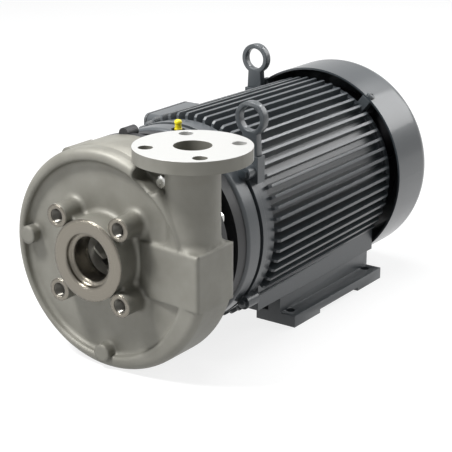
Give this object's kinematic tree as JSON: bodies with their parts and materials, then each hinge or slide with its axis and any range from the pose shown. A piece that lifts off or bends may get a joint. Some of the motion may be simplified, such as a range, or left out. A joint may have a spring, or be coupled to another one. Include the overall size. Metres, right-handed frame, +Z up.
{
  "type": "centrifugal pump",
  "caption": "Close-coupled centrifugal pump: cast volute casing with flanged discharge on a finned, fan-cooled, foot-mounted electric motor.",
  "frame": {"origin": "centre of the suction face, on the shaft axis", "axes": "+Y along the shaft from the suction face towards the motor fan, +Z up away from the feet, +X towards the side that the discharge stands on"},
  "size_m": [0.3265, 0.5475, 0.2878],
  "materials": {
    "stainless_casting": "bead-blasted stainless casting with machined faces",
    "stainless_machined": "machined stainless",
    "bright_bolt": "bright stainless bolts",
    "dark_bolt": "painted over steel bolts",
    "motor_enamel": "semi-gloss slate enamel over cast iron",
    "cover_enamel": "glossy slate enamel over steel sheet",
    "bracket_black": "black painted cast iron",
    "gasket_fibre": "grey-brown fibre sheet",
    "rubber_black": "black nitrile rubber",
    "seal_ceramic": "white ceramic",
    "seal_carbon": "carbon ring in a metal retainer",
    "spring_steel": "stainless spring wire",
    "bearing_steel": "ground and polished bearing steel",
    "cage_brass": "pressed brass cage",
    "electrical_steel": "stacked electrical steel sheets",
    "copper_winding": "varnished copper wire bundles",
    "shaft_steel": "turned shaft steel",
    "rotor_aluminium": "die-cast aluminium",
    "fan_plastic": "moulded black plastic",
    "terminal_plastic": "brown phenolic with studs",
    "cap_yellow": "bright yellow soft plastic",
    "nipple_brass": "plated brass"
  },
  "bodies": {
    "root": {"volute_casing": "stainless_casting", "casing_wear_ring": "stainless_machined", "casing_bolts": "bright_bolt", "casing_cover": "stainless_machined", "casing_gasket": "gasket_fibre", "seal_seat": "seal_ceramic", "seal_seat_cup": "rubber_black", "adapter_bracket": "bracket_black", "motor_bolts": "dark_bolt", "bell_bolts": "dark_bolt", "drive_end_bell": "motor_enamel", "bearing_snap_ring": "spring_steel", "front_bearing_outer": "bearing_steel", "rear_bearing_outer": "bearing_steel", "preload_spring": "spring_steel", "motor_frame": "motor_enamel", "stator_core": "electrical_steel", "stator_windings": "copper_winding", "right_foot": "motor_enamel", "left_foot": "motor_enamel", "front_lifting_eye": "motor_enamel", "rear_lifting_eye": "motor_enamel", "rear_end_bell": "motor_enamel", "fan_cover": "cover_enamel", "fan_cover_screws": "dark_bolt", "conduit_box": "motor_enamel", "conduit_cover_gasket": "rubber_black", "conduit_box_cover": "motor_enamel", "conduit_cover_screws": "dark_bolt", "terminal_block": "terminal_plastic", "grease_nipple": "nipple_brass"},
    "rotor": {"motor_shaft": "shaft_steel", "impeller": "stainless_machined", "impeller_key": "shaft_steel", "impeller_washer": "bright_bolt", "impeller_bolt": "bright_bolt", "shaft_sleeve": "stainless_machined", "seal_head": "seal_carbon", "seal_bellows": "rubber_black", "seal_spring": "spring_steel", "spring_holder": "spring_steel", "slinger": "rubber_black", "front_bearing_inner": "bearing_steel", "rear_bearing_inner": "bearing_steel", "rotor_core": "electrical_steel", "rotor_end_rings": "rotor_aluminium", "cooling_fan": "fan_plastic", "fan_clip": "spring_steel"},
    "front_cage": {"front_bearing_balls": "bearing_steel", "front_bearing_cage": "cage_brass"},
    "rear_cage": {"rear_bearing_balls": "bearing_steel", "rear_bearing_cage": "cage_brass"},
    "grease_cap": {"nipple_cap": "cap_yellow"}
  },
  "joints": [
    {"name": "rotor_spin", "type": "hinge", "parent": "root", "child": "rotor", "pos_m": [0, 0.165, 0], "axis": [0, -1, 0], "continuous": true},
    {"name": "front_cage_spin", "type": "hinge", "parent": "root", "child": "front_cage", "pos_m": [0, 0.165, 0], "axis": [0, -1, 0], "continuous": true},
    {"name": "rear_cage_spin", "type": "hinge", "parent": "root", "child": "rear_cage", "pos_m": [0, 0.458, 0], "axis": [0, -1, 0], "continuous": true},
    {"name": "grease_cap_pull", "type": "slide", "parent": "root", "child": "grease_cap", "axis": [0, 0, 1], "range_m": [0, 0.015]}
  ],
  "couplings": [
    {"joint": "front_cage_spin", "follows": "rotor_spin", "ratio": 0.4},
    {"joint": "rear_cage_spin", "follows": "rotor_spin", "ratio": 0.3957}
  ]
}
